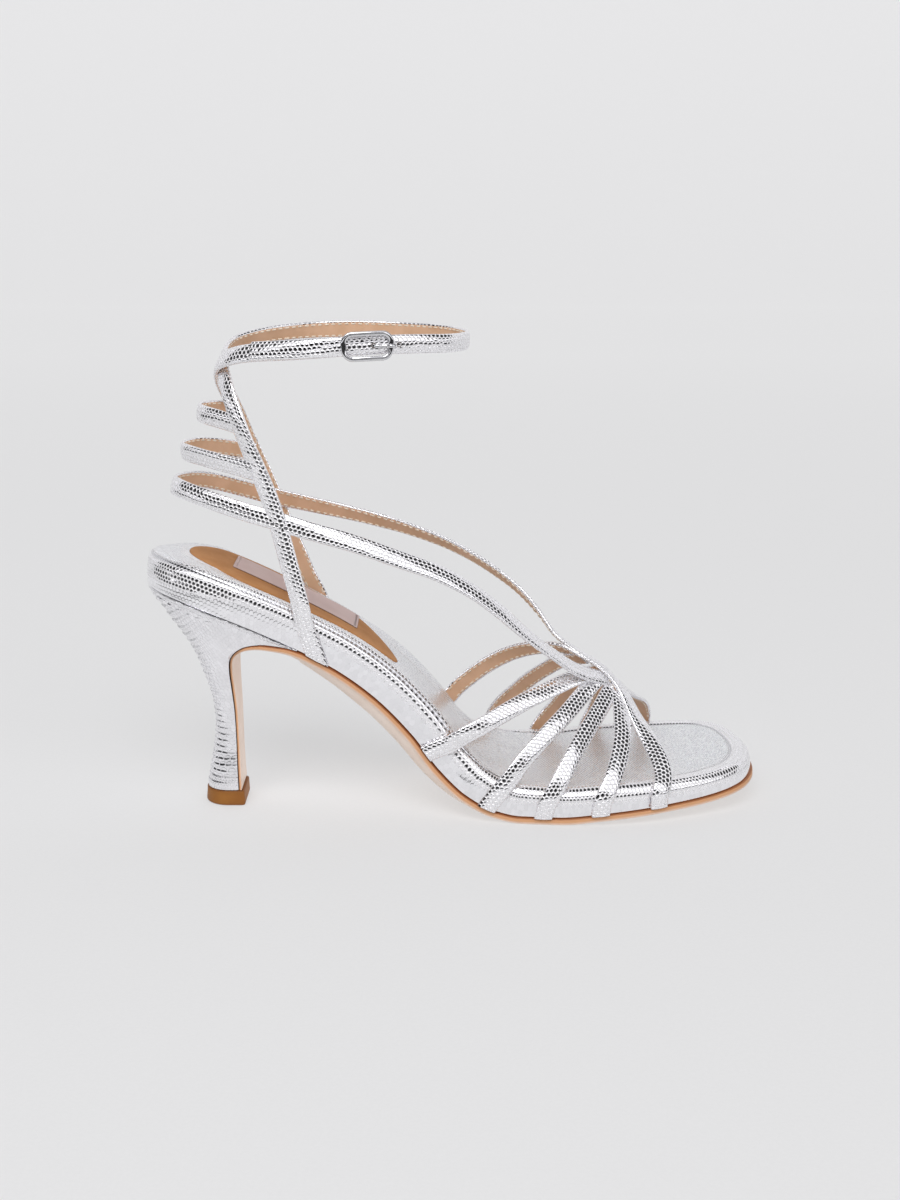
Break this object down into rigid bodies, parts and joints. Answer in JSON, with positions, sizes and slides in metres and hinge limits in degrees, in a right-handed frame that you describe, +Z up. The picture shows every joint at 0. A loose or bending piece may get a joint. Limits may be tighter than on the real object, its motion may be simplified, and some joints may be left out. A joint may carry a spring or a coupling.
{
  "type": "heeled sandal",
  "caption": "High-heeled strappy sandal with padded footbed, slim flared heel, fan of vamp straps, crossed back straps and a buckled ankle strap.",
  "frame": {"origin": "middle of the shoe's box, on the floor it stands on", "axes": "+X to the toe, +Y to the inner (medial) side, +Z up"},
  "size_m": [0.229, 0.0854, 0.1795],
  "materials": {
    "outsole_leather": "pale leather with a burnished brown edge",
    "footbed_cover": "metallic silver foil leather with a fine lizard emboss",
    "sock_leather": "smooth tan leather",
    "heel_cover": "metallic silver foil leather in scale rows",
    "lift": "matt brown",
    "strap_leather": "metallic silver foil leather with a lizard emboss, tan lining",
    "buckle_metal": "polished"
  },
  "bodies": {
    "root": {"outsole": "outsole_leather", "footbed": "footbed_cover", "heel_sock": "sock_leather", "heel": "heel_cover", "top_lift": "lift", "upper": "strap_leather", "buckle_frame": "buckle_metal", "buckle_prong": "buckle_metal"}
  },
  "joints": []
}
